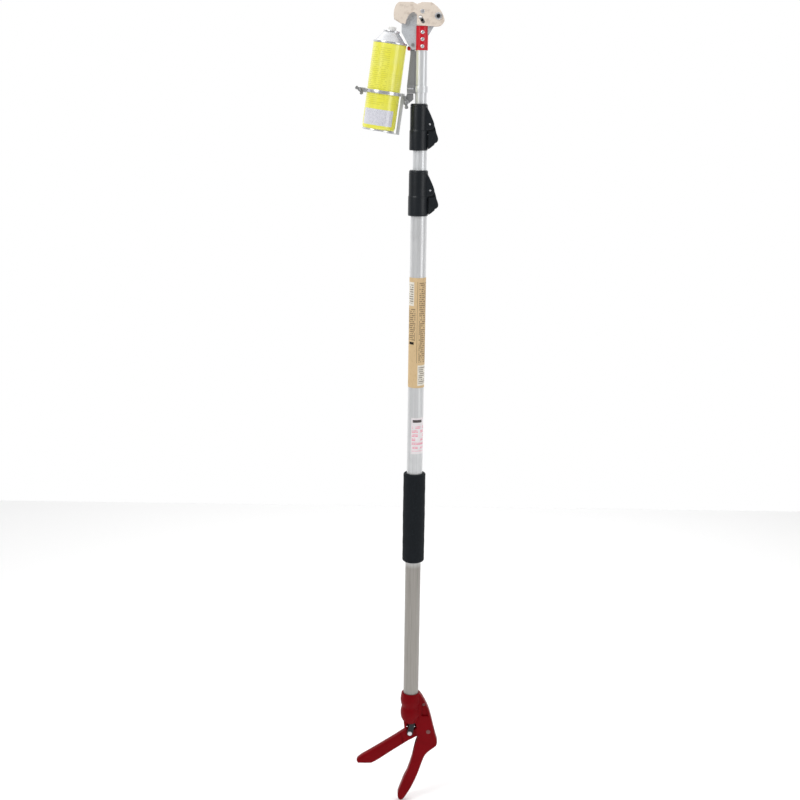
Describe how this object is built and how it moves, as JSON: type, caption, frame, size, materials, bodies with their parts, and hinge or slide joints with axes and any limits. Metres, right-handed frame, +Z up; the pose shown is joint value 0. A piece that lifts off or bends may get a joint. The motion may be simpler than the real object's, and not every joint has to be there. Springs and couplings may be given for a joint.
{
  "type": "telescoping aerosol spray pole",
  "caption": "Telescoping pole with squeeze trigger, foam grip, flip-lever clamps and a head rocker that presses a can held in a ring.",
  "frame": {"origin": "on the pole axis inside the foam grip, 96 mm above its lower end", "axes": "+Z up along the pole to the head, +X towards the fixed handle and the clamp levers, -X towards the trigger and the can"},
  "size_m": [0.1907, 0.0708, 1.7264],
  "materials": {
    "bare_aluminium": "satin extruded tube, fine lengthwise drawing lines",
    "bright_steel": "zinc-bright steel",
    "dark_steel": "dark grey plated steel",
    "cast_metal": "matt grey die casting",
    "red_plastic": "moulded red plastic, fine grain",
    "red_sleeve": "bright red sleeve",
    "red_rubber": "red rubber",
    "black_plastic": "black moulded plastic",
    "foam": "closed-cell foam, matt",
    "beige_paint": "beige enamel",
    "kraft_paper": "brown printed paper under clear film",
    "pale_film": "pale printed film",
    "can_print": "yellow printed tinplate",
    "white_plastic": "white moulded plastic"
  },
  "bodies": {
    "pole_base": {"outer_tube": "bare_aluminium", "foam_grip": "foam", "instruction_label": "kraft_paper", "caution_label": "pale_film", "handle_shell_near": "red_plastic", "handle_shell_far": "red_plastic", "shell_screw": "bright_steel", "trigger_pivot_pin": "bright_steel", "trigger_spring": "bright_steel", "lower_clamp_body": "black_plastic", "lower_clamp_collar": "black_plastic", "lower_clamp_pin": "bright_steel", "lower_brake_shoe": "black_plastic"},
    "trigger": {"trigger_lever": "red_plastic", "link_pin": "bright_steel"},
    "lower_rod": {"pull_rod_lower": "bare_aluminium", "rod_pin": "bright_steel"},
    "links": {"pull_link_near": "black_plastic", "pull_link_far": "black_plastic"},
    "lower_lever": {"lower_clamp_lever": "black_plastic"},
    "middle_stage": {"middle_tube": "bare_aluminium", "middle_tube_bush": "black_plastic", "upper_clamp_body": "black_plastic", "upper_clamp_collar": "black_plastic", "upper_clamp_pin": "bright_steel", "upper_brake_shoe": "black_plastic"},
    "middle_rod": {"pull_rod_middle": "bare_aluminium"},
    "upper_lever": {"upper_clamp_lever": "black_plastic"},
    "head": {"inner_tube": "bare_aluminium", "inner_tube_bush": "black_plastic", "head_sleeve": "red_sleeve", "head_rivet_1": "bright_steel", "head_rivet_2": "bright_steel", "head_rivet_3": "bright_steel", "head_bracket": "cast_metal", "rocker_bolt": "bright_steel", "holder_arm": "dark_steel", "arm_screw": "dark_steel", "bumper_stud": "dark_steel", "can_bumper": "red_rubber", "tube_band": "bare_aluminium", "band_bolt": "bright_steel", "tilt_bracket": "dark_steel", "tilt_bolt": "bright_steel"},
    "upper_rod": {"pull_rod_upper": "bare_aluminium", "pull_pin": "bright_steel"},
    "rocker": {"rocker_cheek_near": "beige_paint", "rocker_cheek_far": "beige_paint", "presser_block": "beige_paint", "rocker_rivet": "bright_steel"},
    "can_holder": {"can_ring": "bright_steel", "back_channel": "bare_aluminium", "ring_bolt": "bright_steel"},
    "ring_nut": {"ring_wing_nut": "dark_steel"},
    "tilt_nut": {"tilt_wing_nut": "dark_steel"},
    "can": {"can_body": "can_print", "can_base": "bright_steel", "can_dome": "bright_steel"},
    "button": {"spray_button": "white_plastic"}
  },
  "joints": [
    {"name": "middle_tube_slide", "type": "slide", "parent": "pole_base", "child": "middle_stage", "axis": [0, 0, 1], "range_m": [0, 0.7]},
    {"name": "inner_tube_slide", "type": "slide", "parent": "middle_stage", "child": "head", "axis": [0, 0, 1], "range_m": [0, 0.7]},
    {"name": "trigger_squeeze", "type": "hinge", "parent": "pole_base", "child": "trigger", "pos_m": [0.0401, 0, -0.497], "axis": [0, -1, 0], "range_deg": [0, 8], "stiffness_Nm_per_rad": 6, "springref_deg": -6.88},
    {"name": "lower_rod_pull", "type": "slide", "parent": "pole_base", "child": "lower_rod", "axis": [0, 0, -1], "range_m": [0, 0.0055]},
    {"name": "link_swing", "type": "hinge", "parent": "lower_rod", "child": "links", "pos_m": [0.006, 0, -0.4735], "axis": [0, -1, 0], "range_deg": [0, 2.4]},
    {"name": "middle_rod_pull", "type": "slide", "parent": "middle_stage", "child": "middle_rod", "axis": [0, 0, -1], "range_m": [0, 0.0055]},
    {"name": "upper_rod_pull", "type": "slide", "parent": "head", "child": "upper_rod", "axis": [0, 0, -1], "range_m": [0, 0.0055]},
    {"name": "rocker_swing", "type": "hinge", "parent": "head", "child": "rocker", "pos_m": [0.0313, 0, 1.0325], "axis": [0, -1, 0], "range_deg": [0, 12.1]},
    {"name": "lower_lever_flip", "type": "hinge", "parent": "pole_base", "child": "lower_lever", "pos_m": [0.0219, 0, 0.6965], "axis": [0, -1, 0], "range_deg": [0, 95]},
    {"name": "upper_lever_flip", "type": "hinge", "parent": "middle_stage", "child": "upper_lever", "pos_m": [0.019, 0, 0.8265], "axis": [0, -1, 0], "range_deg": [0, 95]},
    {"name": "holder_tilt", "type": "hinge", "parent": "head", "child": "can_holder", "pos_m": [-0.02986, 0, 0.86812], "axis": [0, -1, 0], "range_deg": [0, 12]},
    {"name": "ring_nut_turn", "type": "hinge", "parent": "can_holder", "child": "ring_nut", "pos_m": [-0.1202, 0, 0.89212], "axis": [0, -1, 0], "continuous": true},
    {"name": "tilt_nut_turn", "type": "hinge", "parent": "head", "child": "tilt_nut", "pos_m": [-0.02986, 0, 0.86812], "axis": [0, -1, 0], "continuous": true},
    {"name": "can_turn", "type": "hinge", "parent": "can_holder", "child": "can", "pos_m": [-0.0746, 0, 0.8845], "axis": [0.1305, 0, 0.9914], "continuous": true},
    {"name": "button_press", "type": "slide", "parent": "can", "child": "button", "axis": [-0.1305, 0, -0.9914], "range_m": [0, 0.003]}
  ],
  "couplings": [
    {"joint": "lower_rod_pull", "follows": "trigger_squeeze", "m_per_rad": 0.038818},
    {"joint": "link_swing", "follows": "trigger_squeeze", "ratio": 0.28125},
    {"joint": "middle_rod_pull", "follows": "trigger_squeeze", "m_per_rad": 0.038818},
    {"joint": "upper_rod_pull", "follows": "trigger_squeeze", "m_per_rad": 0.038818},
    {"joint": "rocker_swing", "follows": "trigger_squeeze", "ratio": 1.5},
    {"joint": "button_press", "follows": "trigger_squeeze", "m_per_rad": 0.021464}
  ]
}
